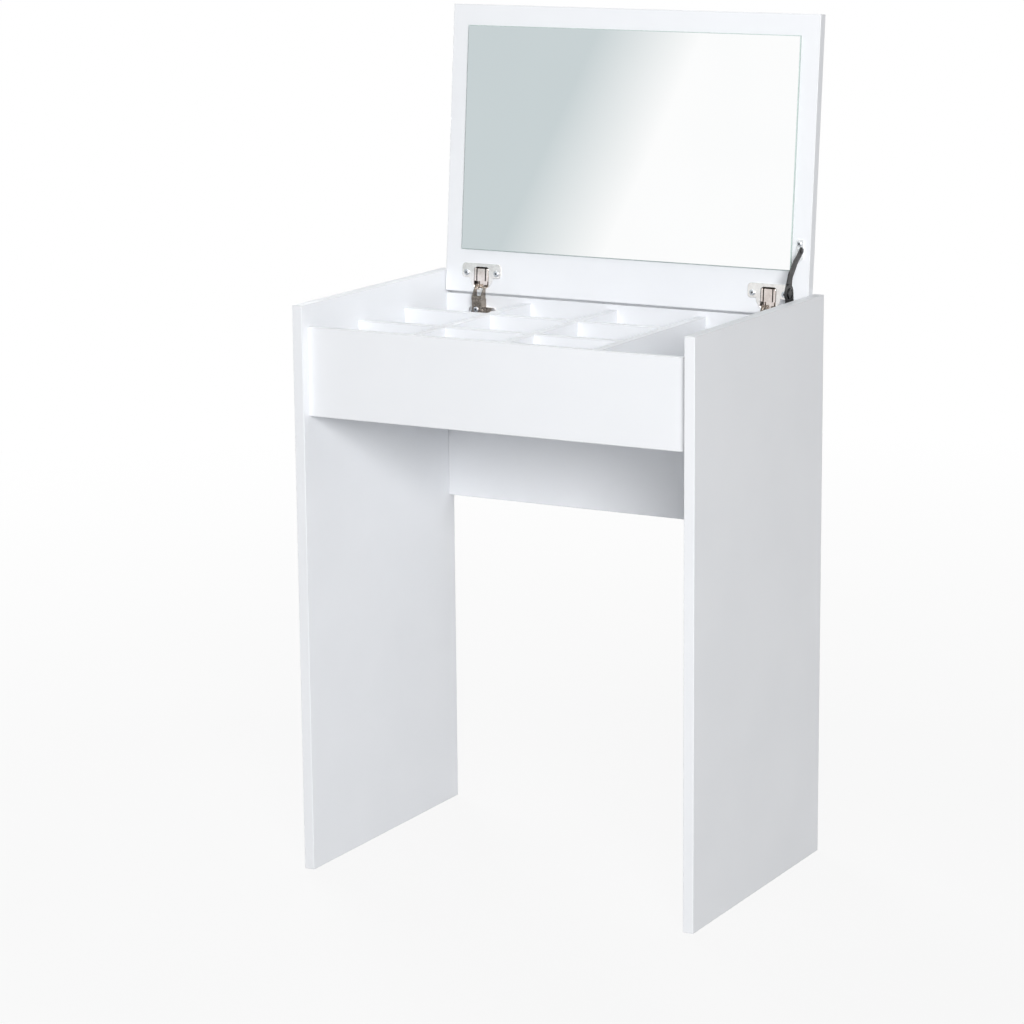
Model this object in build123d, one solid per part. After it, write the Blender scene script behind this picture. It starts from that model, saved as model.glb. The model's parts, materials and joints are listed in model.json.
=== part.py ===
from build123d import *
import math
import os

# A dressing table of coated board: two side panels carry a shallow storage box, whose lid swings up
# on two cup hinges and has a mirror on its inner face. Sizes are in millimetres. X runs to the right,
# Y to the rear and Z up, and the origin is on the floor, in the middle of the space that the table
# takes with its lid open. The lid and what it carries are drawn closed, and then turned open, which
# is the pose at rest.

# Driving dimensions of the boards
table_width = 600
table_depth = 400
table_height = 790
board = 15  # sides, back, box floor and lid
thin_board = 12  # dividers
apron_board = 9  # thin, so that the mirror closes behind it
edge_round = 0.8
apron_setback = 13
apron_drop = 30  # from the side panels' tops down to the apron's top
apron_height = 122
back_height = 300
divider_drop = 10  # from the apron's top down to the dividers' tops
pocket_width = 126
front_pocket_depth = 122
middle_pocket_depth = 112
columns = 3
lap_clearance = 0.1  # each side of a half-lap slot

# Driving dimensions of the lid and mirror
lid_side_gap = 1
lid_rest_gap = 0.5  # closed lid above the apron's top
lid_nose = 6.5  # closed lid past the side panels' front edges, to lift it by
opening_angle = 95
swing_clearance = 0.6  # lid's rear corner over the back panel's hollowed top
back_top_drop = 0.6  # back panel's top below the closed lid's underside
mirror_side_margin = 26.5
mirror_front_margin = 29.2
mirror_hinge_margin = 61
mirror_thickness = 3
mirror_corner = 5
tape_thickness = 1
tape_width = 40
tape_inset = 25  # from the glass edge to a strip's end
tape_pitch = 190

# Driving dimensions of the knock-down fittings
cam_radius = 6
cam_centre_inset = 24  # from a board's end to the cam's centre
cam_past_head = 0.5
bolt_radius = 2.5
bolt_head_radius = 3
bolt_head_length = 4
bolt_depth = 11  # in the side panel
dowel_radius = 3
dowel_length = 30
dowel_depth = 12  # in the side panel
fitting_clearance = 0.1
apron_dowel_offset = 40
back_cam_inset = 50  # from the back panel's top and bottom edges
back_dowel_inset = 90
floor_cam_inset = 60  # from the box floor's front and rear edges
floor_dowel_inset = 100

# Driving dimensions of the hinges
hinge_from_side = 60  # hinge centre from a side panel's inner face
pivot_from_rear = 9.5  # hinge axis from the lid's rear edge
pivot_depth = 9.2  # hinge axis above the closed lid's underside
cup_from_rear = 22
cup_radius = 17.5
cup_wall = 0.7
cup_depth = 13.2
flange_thickness = 1.2
flange_round = 0.5
flange_width = 63
flange_height = 20.5
flange_corner = 5
flange_centre_from_rear = 31.2
rim_width = 1
mouth_width = 24
mouth_length = 30.8
mouth_corner = 4
mouth_centre_from_rear = 21.4
knuckle_radius = 27  # round the pin
knuckle_proud = 1.8  # past the lid's face
knuckle_round = 1.5
knuckle_step_from_rear = 16.5  # the knuckle's part nearer the lid's rear edge is set back
knuckle_step_depth = 6
knuckle_clearance = 0.3
hinge_pin_radius = 1.25
hinge_pin_length = 19
running_clearance = 0.05
seat_clearance = 0.02
eye_radius = 2.2
ear_width = 3.2
ear_reach = 12.5  # from the pin to an ear's knee
ear_rise = 1.2
arm_width = 15.2
arm_wall = 1.2
arm_round = 1
arm_from_back = 19.5  # arm's front face from the back panel
arm_top_drop = 4.5  # arm's upper bend below the closed lid's underside
arm_length = 52.5
arm_wall_top_drop = 3
arm_wall_gap = 4  # arm's side walls from the back panel
hinge_line_drop = 28.5  # fixing line below the closed lid's underside
rail_clearance = 0.2
rail_height = 38
wing_width = 44
wing_height = 16
wing_thickness = 2.5
wing_corner = 5
wing_screw_offset = 16
arm_screw_offsets = (-15, 7)  # adjusting and fixing screws from the fixing line

# Driving dimensions of the screws
screw_radius = 1.75
screw_length = 11
screw_head_radius = 3.5
screw_head_height = 1.8
cup_screw_offset = 24
cup_screw_from_rear = 28
machine_screw_radius = 2
machine_screw_length = 8
machine_head_radius = 3.9
machine_head_height = 2

# Driving dimensions of the folding stay at the right side
stay_pin_from_rear = 89.5
stay_pin_standoff = 10  # lid pivot off the lid's face
stay_hub_from_rear = 65
stay_hub_rise = 8.5  # hub above the side panels' tops
stay_arm_thickness = 1.6
stay_arm_gap = 0.4  # between the two arms
stay_panel_gap = 7  # lower arm from the side panel
stay_hub_radius = 12.5
stay_upper_hub_radius = 10
stay_cap_radius = 7.5
stay_cap_height = 1.2
stay_hub_rivet_radius = 4
stay_hub_clearance = 0.25
stay_hub_head_radius = 5.5
stay_hub_head_height = 1
stay_eye_radius = 5
stay_neck_width = 10
stay_elbow_radius = 5.5
stay_elbow_from_rear = 41
stay_elbow_rise = 47
stay_shoulder_radius = 6.5
stay_shoulder_from_rear = 57
stay_shoulder_rise = 31
stay_foot_radius = 8
stay_washer_thickness = 0.3
stay_rivet_radius = 2
stay_rivet_head_radius = 3.6
stay_rivet_head_height = 1
stay_end_play = 0.2
bracket_thickness = 1.6
bracket_width = 10
bracket_corner = 2
bracket_front = 104  # from the lid's rear edge
bracket_rear = 76
bracket_screws_from_rear = (82, 98)
plate_thickness = 2
plate_width = 24
plate_height = 62
plate_corner = 6
plate_screw_offset = 22
stud_radius = 3
stud_head_radius = 5.5
stud_head_height = 1.4

# Places that follow from the driving dimensions
inner_x = table_width / 2 - board
lean = math.radians(opening_angle - 90)
lid_overhang = (
    (table_depth + lid_nose - pivot_from_rear) * math.sin(lean)
    + (board - pivot_depth) * math.cos(lean)
    - pivot_from_rear
)  # how far the open lid leans out behind the table
front_y = -(table_depth + lid_overhang) / 2
rear_y = front_y + table_depth
lid_front = front_y - lid_nose
apron_front = front_y + apron_setback
apron_rear = apron_front + apron_board
apron_top = table_height - apron_drop
apron_bottom = apron_top - apron_height
back_front = rear_y - board
floor_bottom = apron_bottom
floor_top = floor_bottom + board
divider_top = apron_top - divider_drop
lid_half = inner_x - lid_side_gap
lid_under = apron_top + lid_rest_gap
lid_top = lid_under + board
pivot_y = rear_y - pivot_from_rear
pivot_z = lid_under + pivot_depth
pivot_axis = Axis((0, pivot_y, pivot_z), (1, 0, 0))
swing_radius = math.hypot(pivot_from_rear, pivot_depth) + swing_clearance
back_top = lid_under - back_top_drop
back_bottom = back_top - back_height
cup_y = rear_y - cup_from_rear
arm_front = back_front - arm_from_back
hinge_line = lid_under - hinge_line_drop
hinge_x = inner_x - hinge_from_side
hinge_places = {"left": -hinge_x, "right": hinge_x}


def block(x0, x1, y0, y1, z0, z1):
    """A box between two corners."""
    centre = Pos((x0 + x1) / 2, (y0 + y1) / 2, (z0 + z1) / 2)
    return centre * Box(abs(x1 - x0), abs(y1 - y0), abs(z1 - z0))


def rod_x(x0, x1, y, z, radius):
    """A cylinder along X."""
    return Pos((x0 + x1) / 2, y, z) * Rot(0, 90, 0) * Cylinder(radius, abs(x1 - x0))


def rod_y(x, y0, y1, z, radius):
    """A cylinder along Y."""
    return Pos(x, (y0 + y1) / 2, z) * Rot(90, 0, 0) * Cylinder(radius, abs(y1 - y0))


def rod_z(x, y, z0, z1, radius):
    """A cylinder along Z."""
    return Pos(x, y, (z0 + z1) / 2) * Cylinder(radius, abs(z1 - z0))


def rounded_board(x0, x1, y0, y1, z0, z1):
    """A board with its edges broken."""
    plain = block(x0, x1, y0, y1, z0, z1)
    return fillet(plain.edges(), edge_round)


def side_profile(x0, x1, sketch):
    """A profile drawn in Y and Z, made solid from x0 to x1."""
    return extrude(Plane.YZ.offset(x0) * sketch, amount=x1 - x0)


def bar(start, end, width):
    """A flat bar with round ends between two points, in Y and Z."""
    run = math.dist(start, end)
    turn = math.degrees(math.atan2(end[1] - start[1], end[0] - start[0]))
    middle = Pos((start[0] + end[0]) / 2, (start[1] + end[1]) / 2)
    return middle * Rot(0, 0, turn) * SlotCenterToCenter(run, width)


def disc(centre, radius):
    """A disc in Y and Z."""
    return Pos(*centre) * Circle(radius)


def opened(shape):
    """Turns what is drawn on the closed lid to the open lid."""
    return shape.rotate(pivot_axis, -opening_angle)


def opened_point(y, z):
    """Turns a point of the closed lid to the open lid."""
    turn = math.radians(-opening_angle)
    dy = y - pivot_y
    dz = z - pivot_z
    return (
        pivot_y + dy * math.cos(turn) - dz * math.sin(turn),
        pivot_z + dy * math.sin(turn) + dz * math.cos(turn),
    )


def group(solids):
    """Separate solids that share one node."""
    return Compound(children=list(solids))


# Knock-down fittings: a bolt in the side panel, pulled in by a cam in the end of a board.
# Each place gives the bolt's axis, the board's thickness and the side on which the cam goes in.
apron_middle_y = (apron_front + apron_rear) / 2
apron_middle_z = (apron_top + apron_bottom) / 2
back_middle_y = (back_front + rear_y) / 2
floor_middle_z = (floor_bottom + floor_top) / 2
apron_cams = [(apron_middle_y, apron_middle_z)]
back_cams = [(back_middle_y, back_bottom + back_cam_inset), (back_middle_y, back_top - back_cam_inset)]
floor_cams = [
    (apron_rear + floor_cam_inset, floor_middle_z),
    (back_front - floor_cam_inset, floor_middle_z),
]
apron_dowels = [(apron_middle_y, apron_middle_z + s * apron_dowel_offset) for s in (-1, 1)]
back_dowels = [
    (back_middle_y, back_bottom + back_dowel_inset),
    (back_middle_y, back_top - back_dowel_inset),
]
floor_dowels = [
    (apron_rear + floor_dowel_inset, floor_middle_z),
    (back_front - floor_dowel_inset, floor_middle_z),
]
cam_x = inner_x - cam_centre_inset


def cam_body(side, place, kind, radius):
    """The cylinder of a cam, from its board's face to just past the bolt's head."""
    y, z = place
    x = side * cam_x
    past = bolt_head_radius + cam_past_head
    if kind == "apron":
        return rod_y(x, y - past, apron_rear, z, radius)
    if kind == "back":
        return rod_y(x, y - past, rear_y, z, radius)
    return rod_z(x, y, floor_bottom, z + past, radius)


def cam_lock(side, place, kind):
    """A cam with the slot that grips the bolt's head."""
    y, z = place
    slot_radius = bolt_head_radius + fitting_clearance
    slot_start = side * (cam_x - slot_radius)
    slot = rod_x(slot_start, side * (cam_x + 2 * cam_radius), y, z, slot_radius)
    return cam_body(side, place, kind, cam_radius) - slot


def cam_bolt(side, place):
    """A bolt screwed into a side panel, with its head at the cam's centre."""
    y, z = place
    shank = rod_x(side * cam_x, side * (inner_x + bolt_depth), y, z, bolt_radius)
    head_half = bolt_head_length / 2
    head = rod_x(side * (cam_x - head_half), side * (cam_x + head_half), y, z, bolt_head_radius)
    return shank + head


def dowel(side, place):
    """A wooden dowel across a joint."""
    y, z = place
    end = side * (inner_x + dowel_depth)
    return rod_x(end - side * dowel_length, end, y, z, dowel_radius)


def end_bores(cams, dowels, kind):
    """The holes for fittings in both ends of a board."""
    holes = []
    for side in (-1, 1):
        for place in cams:
            bore = bolt_head_radius + fitting_clearance
            holes.append(rod_x(side * cam_x, side * inner_x, *place, bore))
            holes.append(cam_body(side, place, kind, cam_radius + fitting_clearance))
        for place in dowels:
            start = side * (inner_x + dowel_depth - dowel_length - fitting_clearance)
            holes.append(rod_x(start, side * inner_x, *place, dowel_radius + fitting_clearance))
    return holes


all_cams = {"apron": apron_cams, "back": back_cams, "floor": floor_cams}
all_dowels = apron_dowels + back_dowels + floor_dowels


def cam_locks():
    locks = []
    for kind, places in all_cams.items():
        locks += [cam_lock(side, place, kind) for place in places for side in (-1, 1)]
    return group(locks)


def cam_bolts():
    places = apron_cams + back_cams + floor_cams
    return group(cam_bolt(side, place) for place in places for side in (-1, 1))


def dowels():
    return group(dowel(side, place) for place in all_dowels for side in (-1, 1))


# Folding stay: the arms run beside the right panel, and lid, arms and panel form a parallelogram,
# so the foot lies as far from the hub as the hinge axis lies from the lid pivot.
stay_pin_closed = (rear_y - stay_pin_from_rear, lid_under - stay_pin_standoff)
stay_pin = opened_point(*stay_pin_closed)
stay_hub = (rear_y - stay_hub_from_rear, table_height + stay_hub_rise)
stay_foot = (pivot_y + stay_hub[0] - stay_pin[0], pivot_z + stay_hub[1] - stay_pin[1])
lower_arm_x1 = inner_x - stay_panel_gap
lower_arm_x0 = lower_arm_x1 - stay_arm_thickness
upper_arm_x1 = lower_arm_x0 - stay_arm_gap
upper_arm_x0 = upper_arm_x1 - stay_arm_thickness
bracket_x1 = upper_arm_x0 - stay_arm_gap
bracket_x0 = bracket_x1 - bracket_width
bracket_screw_x = bracket_x0 + (bracket_width - bracket_thickness) / 2
plate_screws = [(stay_foot[0], stay_foot[1] + s * plate_screw_offset) for s in (-1, 1)]


# Boards of the carcass
def side_panel(side):
    """A side panel with blind holes for the fittings on its inner face."""
    outer = side * table_width / 2
    panel = rounded_board(side * inner_x, outer, front_y, rear_y, 0, table_height)
    holes = []
    for places in all_cams.values():
        for place in places:
            end = side * (inner_x + bolt_depth)
            holes.append(rod_x(side * inner_x, end, *place, bolt_radius + seat_clearance))
    for place in all_dowels:
        end = side * (inner_x + dowel_depth + fitting_clearance)
        holes.append(rod_x(side * inner_x, end, *place, dowel_radius + fitting_clearance))
    if side > 0:
        for place in plate_screws:
            end = inner_x + screw_length + seat_clearance
            holes.append(rod_x(inner_x, end, *place, screw_radius + seat_clearance))
    return panel - holes


def front_apron():
    apron = rounded_board(-inner_x, inner_x, apron_front, apron_rear, apron_bottom, apron_top)
    return apron - end_bores(apron_cams, apron_dowels, "apron")


def wing_screw_places():
    return [(x + s * wing_screw_offset, hinge_line) for x in hinge_places.values() for s in (-1, 1)]


def back_panel():
    """The rear board, its top edge hollowed for the swing of the lid's rear corner."""
    panel = rounded_board(-inner_x, inner_x, back_front, rear_y, back_bottom, back_top)
    panel -= rod_x(-inner_x, inner_x, pivot_y, pivot_z, swing_radius)
    pilots = []
    for x, z in wing_screw_places():
        end = back_front + screw_length + seat_clearance
        pilots.append(rod_y(x, back_front, end, z, screw_radius + seat_clearance))
    return panel - end_bores(back_cams, back_dowels, "back") - pilots


def box_floor():
    plate = block(-inner_x, inner_x, apron_rear, back_front, floor_bottom, floor_top)
    return plate - end_bores(floor_cams, floor_dowels, "floor")


# Dividers: boards from apron to back panel, half-lapped with two cross boards on the left
divider_starts = [-inner_x + pocket_width + i * (pocket_width + thin_board) for i in range(columns)]
cross_front = apron_rear + front_pocket_depth
cross_starts = [cross_front, cross_front + thin_board + middle_pocket_depth]
lap_level = (floor_top + divider_top) / 2


def divider(index):
    """A board from apron to back panel. All but the last are slotted from above."""
    x0 = divider_starts[index]
    plate = block(x0, x0 + thin_board, apron_rear, back_front, floor_top, divider_top)
    if index == columns - 1:
        return plate
    for y0 in cross_starts:
        y1 = y0 + thin_board + lap_clearance
        plate -= block(x0, x0 + thin_board, y0 - lap_clearance, y1, lap_level, divider_top)
    return plate


def cross_divider(index):
    """A board from the left side panel to the last divider, slotted from below."""
    y0 = cross_starts[index]
    plate = block(-inner_x, divider_starts[-1], y0, y0 + thin_board, floor_top, divider_top)
    for x0 in divider_starts[:-1]:
        x1 = x0 + thin_board + lap_clearance
        plate -= block(x0 - lap_clearance, x1, y0, y0 + thin_board, floor_top, lap_level)
    return plate


# Lid and mirror
def cup_screw_places():
    y = rear_y - cup_screw_from_rear
    return [(x + s * cup_screw_offset, y) for x in hinge_places.values() for s in (-1, 1)]


def bracket_screw_places():
    return [(bracket_screw_x, rear_y - run) for run in bracket_screws_from_rear]


def lid_panel():
    """The lid, with a bore for each hinge cup and pilot holes for screws."""
    panel = rounded_board(-lid_half, lid_half, lid_front, rear_y, lid_under, lid_top)
    bore_depth = cup_depth + cup_wall + fitting_clearance
    holes = [
        rod_z(x, cup_y, lid_under, lid_under + bore_depth, cup_radius + fitting_clearance)
        for x in hinge_places.values()
    ]
    for x, y in cup_screw_places() + bracket_screw_places():
        holes.append(rod_z(x, y, lid_under, lid_under + screw_length, screw_radius + seat_clearance))
    return opened(panel - holes)


mirror_half = lid_half - mirror_side_margin
mirror_front = lid_front + mirror_front_margin
mirror_rear = rear_y - mirror_hinge_margin
tape_level = lid_under - tape_thickness


def mirror_glass():
    outline = RectangleRounded(2 * mirror_half, mirror_rear - mirror_front, mirror_corner)
    centre = Pos(0, (mirror_front + mirror_rear) / 2, tape_level - mirror_thickness)
    return opened(extrude(centre * outline, amount=mirror_thickness))


def mirror_tape():
    """Strips of double-sided foam tape that hold the glass on the lid."""
    strips = []
    start = mirror_front + tape_inset
    end = mirror_rear - tape_inset
    for i in (-1, 0, 1):
        x0 = i * tape_pitch - tape_width / 2
        strips.append(opened(block(x0, x0 + tape_width, start, end, tape_level, lid_under)))
    return group(strips)


# Hinges: a cup let into the lid holds a knuckle, which turns on the pin of a cranked arm
def mouth_outline(x, inset):
    """The cup's mouth in plan, drawn in by an inset."""
    outline = RectangleRounded(mouth_width - 2 * inset, mouth_length - 2 * inset, mouth_corner - inset)
    return Pos(x, rear_y - mouth_centre_from_rear) * outline


def hinge_cup(x):
    """A round cup with a screw flange and a mouth for the arm."""
    shell = rod_z(x, cup_y, lid_under, lid_under + cup_depth + cup_wall, cup_radius)
    shell -= rod_z(x, cup_y, lid_under, lid_under + cup_depth, cup_radius - cup_wall)
    plate_y = rear_y - flange_centre_from_rear
    plate = Pos(x, plate_y) * RectangleRounded(flange_width, flange_height, flange_corner)
    rim = Pos(x, cup_y) * Circle(cup_radius + rim_width)
    level = lid_under - flange_thickness
    flange = extrude(Pos(0, 0, level) * (plate + rim), amount=flange_thickness)
    flange = fillet(flange.faces().sort_by(Axis.Z)[0].edges(), flange_round)
    flange -= extrude(Pos(0, 0, level) * mouth_outline(x, 0), amount=flange_thickness)
    for s in (-1, 1):
        hole_x = x + s * cup_screw_offset
        hole_y = rear_y - cup_screw_from_rear
        flange -= rod_z(hole_x, hole_y, level, lid_under, screw_radius + fitting_clearance)
    return opened(shell + flange)


def hinge_knuckle(x):
    """A rounded block pressed into the cup. It holds the pin, and has slots for the arm's ears."""
    low = lid_under - knuckle_proud
    high = lid_under + cup_depth
    outline = mouth_outline(x, knuckle_clearance)
    knuckle = extrude(Pos(0, 0, low) * outline, amount=high - low)
    knuckle = fillet(knuckle.faces().sort_by(Axis.Z)[0].edges(), knuckle_round)
    knuckle &= rod_z(x, cup_y, low, high, cup_radius - cup_wall - knuckle_clearance)
    knuckle &= rod_x(x - cup_radius, x + cup_radius, pivot_y, pivot_z, knuckle_radius)
    step_y = rear_y - knuckle_step_from_rear
    knuckle -= block(x - cup_radius, x + cup_radius, step_y, rear_y, low, lid_under + knuckle_step_depth)
    slot_top = pivot_z + max(eye_radius, ear_rise + ear_width / 2) + knuckle_clearance
    for s in (-1, 1):
        slot_in = x + s * (arm_width / 2 - arm_wall - knuckle_clearance)
        slot_out = x + s * (arm_width / 2 + knuckle_clearance)
        knuckle -= block(slot_in, slot_out, pivot_y - knuckle_radius, rear_y, low, slot_top)
    half = hinge_pin_length / 2
    knuckle -= rod_x(x - half, x + half, pivot_y, pivot_z, hinge_pin_radius + seat_clearance)
    return opened(knuckle)


def hinge_pin(x):
    half = hinge_pin_length / 2
    return rod_x(x - half, x + half, pivot_y, pivot_z, hinge_pin_radius)


def web_end(knee, bend):
    """The point on the way from bend to knee where the arm's web stops short of the closed knuckle."""
    top = lid_under - knuckle_proud - knuckle_clearance - arm_wall / 2
    share = (top - bend[1]) / (knee[1] - bend[1])
    return (bend[0] + share * (knee[0] - bend[0]), top)


def hinge_arm(x):
    """A pressed channel, whose side walls run on as two cranked ears that hold the pin."""
    pin = (pivot_y, pivot_z)
    knee = (pivot_y - ear_reach, pivot_z + ear_rise)
    bend = (arm_front + arm_wall / 2, lid_under - arm_top_drop)
    bottom = bend[1] - arm_length
    wall_rear = back_front - arm_wall_gap
    wall_top = bend[1] - arm_wall_top_drop
    half = arm_width / 2
    channel = block(x - half, x + half, arm_front, wall_rear, bottom, wall_top)
    channel = fillet(channel.edges().filter_by(Axis.Z).sort_by(Axis.Y)[:2], arm_round)
    inner = half - arm_wall
    channel -= block(x - inner, x + inner, arm_front + arm_wall, wall_rear, bottom, wall_top)
    front = bar((bend[0], wall_top), bend, arm_wall) + bar(bend, web_end(knee, bend), arm_wall)
    arm = channel + side_profile(x - half, x + half, front)
    cheek = (knee[0], wall_top)
    corners = disc(knee, ear_width / 2) + disc(bend, arm_wall / 2) + disc(cheek, ear_width / 2)
    ear = disc(pin, eye_radius) + bar(pin, knee, ear_width) + make_hull(corners.edges())
    for x0 in (x - half, x + inner):
        arm += side_profile(x0, x0 + arm_wall, ear)
    arm -= rod_x(x - half, x + half, pivot_y, pivot_z, hinge_pin_radius + running_clearance)
    for offset in arm_screw_offsets:
        hole_radius = machine_screw_radius + fitting_clearance
        arm -= rod_y(x, arm_front, arm_front + arm_wall, hinge_line + offset, hole_radius)
    return arm


def hinge_base(x):
    """A mounting plate: a rail under the arm and two screwed wings on the back panel."""
    half = arm_width / 2 - arm_wall - rail_clearance
    rail_front = arm_front + arm_wall
    rail_middle = hinge_line + sum(arm_screw_offsets) / 2
    rail_bottom = rail_middle - rail_height / 2
    base = block(x - half, x + half, rail_front, back_front, rail_bottom, rail_bottom + rail_height)
    wing = RectangleRounded(wing_width, wing_height, wing_corner)
    place = Plane((x, back_front, hinge_line), x_dir=(1, 0, 0), z_dir=(0, -1, 0))
    base += extrude(place * wing, amount=wing_thickness)
    for s in (-1, 1):
        hole_x = x + s * wing_screw_offset
        hole_radius = screw_radius + fitting_clearance
        base -= rod_y(hole_x, back_front - wing_thickness, back_front, hinge_line, hole_radius)
    for offset in arm_screw_offsets:
        tip = rail_front + machine_screw_length
        base -= rod_y(x, rail_front, tip, hinge_line + offset, machine_screw_radius + seat_clearance)
    return base


# Screws with flat round heads
def hinge_cup_screws():
    seat = lid_under - flange_thickness
    screws = []
    for x, y in cup_screw_places():
        shank = rod_z(x, y, seat, lid_under + screw_length, screw_radius)
        screws.append(opened(shank + rod_z(x, y, seat - screw_head_height, seat, screw_head_radius)))
    return group(screws)


def hinge_base_screws():
    seat = back_front - wing_thickness
    screws = []
    for x, z in wing_screw_places():
        shank = rod_y(x, seat, back_front + screw_length, z, screw_radius)
        screws.append(shank + rod_y(x, seat - screw_head_height, seat, z, screw_head_radius))
    return group(screws)


def hinge_arm_screws():
    screws = []
    for x in hinge_places.values():
        for offset in arm_screw_offsets:
            z = hinge_line + offset
            tip = arm_front + arm_wall + machine_screw_length
            shank = rod_y(x, arm_front, tip, z, machine_screw_radius)
            head = rod_y(x, arm_front - machine_head_height, arm_front, z, machine_head_radius)
            screws.append(shank + head)
    return group(screws)


# Folding stay
def stay_lid_bracket():
    """An angle bracket on the lid, with an ear for the upper arm's rivet."""
    y, z = stay_pin_closed
    base_y0 = rear_y - bracket_front
    base_y1 = rear_y - bracket_rear
    base_z = lid_under - bracket_thickness
    middle = Pos((bracket_x0 + bracket_x1) / 2, (base_y0 + base_y1) / 2, base_z)
    foot = RectangleRounded(bracket_width, base_y1 - base_y0, bracket_corner)
    bracket = extrude(middle * foot, amount=bracket_thickness)
    ear = disc((y, z), stay_eye_radius)
    ear += Pos(y, (z + lid_under) / 2) * Rectangle(2 * stay_eye_radius, lid_under - z)
    bracket += side_profile(bracket_x1 - bracket_thickness, bracket_x1, ear)
    bracket -= rod_x(bracket_x0, bracket_x1, y, z, stay_rivet_radius + seat_clearance)
    for x, hole_y in bracket_screw_places():
        bracket -= rod_z(x, hole_y, base_z, lid_under, screw_radius + fitting_clearance)
    return opened(bracket)


def stay_lid_rivet():
    head_x0 = bracket_x1 - bracket_thickness - stay_rivet_head_height
    head_x1 = upper_arm_x1 + stay_end_play
    rivet = rod_x(head_x0, head_x1, *stay_pin, stay_rivet_radius)
    rivet += rod_x(head_x0, head_x0 + stay_rivet_head_height, *stay_pin, stay_rivet_head_radius)
    return rivet + rod_x(head_x1, head_x1 + stay_rivet_head_height, *stay_pin, stay_rivet_head_radius)


def stay_upper_arm():
    """The arm from the lid bracket to the hub, bent at an elbow and a shoulder."""
    elbow = (rear_y - stay_elbow_from_rear, table_height + stay_elbow_rise)
    shoulder = (rear_y - stay_shoulder_from_rear, table_height + stay_shoulder_rise)
    shoulder_disc = disc(shoulder, stay_shoulder_radius)
    outline = disc(stay_pin, stay_eye_radius) + bar(stay_pin, elbow, stay_neck_width)
    outline += make_hull((disc(elbow, stay_elbow_radius) + shoulder_disc).edges())
    outline += make_hull((shoulder_disc + disc(stay_hub, stay_upper_hub_radius)).edges())
    outline -= disc(stay_pin, stay_rivet_radius + running_clearance)
    outline -= disc(stay_hub, stay_hub_rivet_radius + stay_hub_clearance)
    return side_profile(upper_arm_x0, upper_arm_x1, outline)


def stay_lower_arm():
    """The arm from the hub down to the foot on the side panel."""
    outline = make_hull((disc(stay_foot, stay_foot_radius) + disc(stay_hub, stay_hub_radius)).edges())
    outline -= disc(stay_foot, stud_radius + running_clearance)
    outline -= disc(stay_hub, stay_hub_rivet_radius + seat_clearance)
    return side_profile(lower_arm_x0, lower_arm_x1, outline)


def stay_hub_rivet():
    """The hub's rivet, with a round head against the upper arm."""
    head_x1 = upper_arm_x0 - stay_end_play
    rivet = rod_x(head_x1, lower_arm_x1, *stay_hub, stay_hub_rivet_radius)
    return rivet + rod_x(head_x1 - stay_hub_head_height, head_x1, *stay_hub, stay_hub_head_radius)


def stay_friction_washer():
    ring = disc(stay_hub, stay_upper_hub_radius) - disc(stay_hub, stay_hub_rivet_radius + seat_clearance)
    return side_profile(lower_arm_x0 - stay_washer_thickness, lower_arm_x0, ring)


def stay_hub_cap():
    """A low cap over the hub, on the side panel's side."""
    cap = side_profile(lower_arm_x1, lower_arm_x1 + stay_cap_height, disc(stay_hub, stay_cap_radius))
    rim = cap.edges().filter_by(GeomType.CIRCLE).sort_by(Axis.X)[-1]
    return fillet(rim, stay_cap_height / 2)


def stay_anchor_plate():
    """A plate screwed to the side panel, with a shouldered stud for the lower arm."""
    outline = Pos(*stay_foot) * RectangleRounded(plate_width, plate_height, plate_corner)
    for place in plate_screws:
        outline -= disc(place, screw_radius + fitting_clearance)
    plate = side_profile(inner_x - plate_thickness, inner_x, outline)
    shoulder_x = lower_arm_x1 + stay_end_play
    plate += rod_x(shoulder_x, inner_x - plate_thickness, *stay_foot, stud_head_radius)
    head_x = lower_arm_x0 - stay_end_play
    plate += rod_x(head_x, shoulder_x, *stay_foot, stud_radius)
    return plate + rod_x(head_x - stud_head_height, head_x, *stay_foot, stud_head_radius)


def stay_bracket_screws():
    seat = lid_under - bracket_thickness
    screws = []
    for x, y in bracket_screw_places():
        shank = rod_z(x, y, seat, lid_under + screw_length, screw_radius)
        screws.append(opened(shank + rod_z(x, y, seat - screw_head_height, seat, screw_head_radius)))
    return group(screws)


def stay_plate_screws():
    seat = inner_x - plate_thickness
    screws = []
    for place in plate_screws:
        shank = rod_x(seat, inner_x + screw_length, *place, screw_radius)
        screws.append(shank + rod_x(seat - screw_head_height, seat, *place, screw_head_radius))
    return group(screws)


nodes = {
    "side_panel_left": side_panel(-1),
    "side_panel_right": side_panel(1),
    "front_apron": front_apron(),
    "back_panel": back_panel(),
    "box_floor": box_floor(),
    "divider_left": divider(0),
    "divider_middle": divider(1),
    "divider_right": divider(2),
    "cross_divider_front": cross_divider(0),
    "cross_divider_rear": cross_divider(1),
    "cam_locks": cam_locks(),
    "cam_bolts": cam_bolts(),
    "dowels": dowels(),
    "lid_panel": lid_panel(),
    "mirror_glass": mirror_glass(),
    "mirror_tape": mirror_tape(),
    "hinge_cup_screws": hinge_cup_screws(),
    "hinge_arm_screws": hinge_arm_screws(),
    "hinge_base_screws": hinge_base_screws(),
    "stay_lid_bracket": stay_lid_bracket(),
    "stay_lid_rivet": stay_lid_rivet(),
    "stay_upper_arm": stay_upper_arm(),
    "stay_lower_arm": stay_lower_arm(),
    "stay_hub_rivet": stay_hub_rivet(),
    "stay_friction_washer": stay_friction_washer(),
    "stay_hub_cap": stay_hub_cap(),
    "stay_anchor_plate": stay_anchor_plate(),
    "stay_bracket_screws": stay_bracket_screws(),
    "stay_plate_screws": stay_plate_screws(),
}
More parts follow.
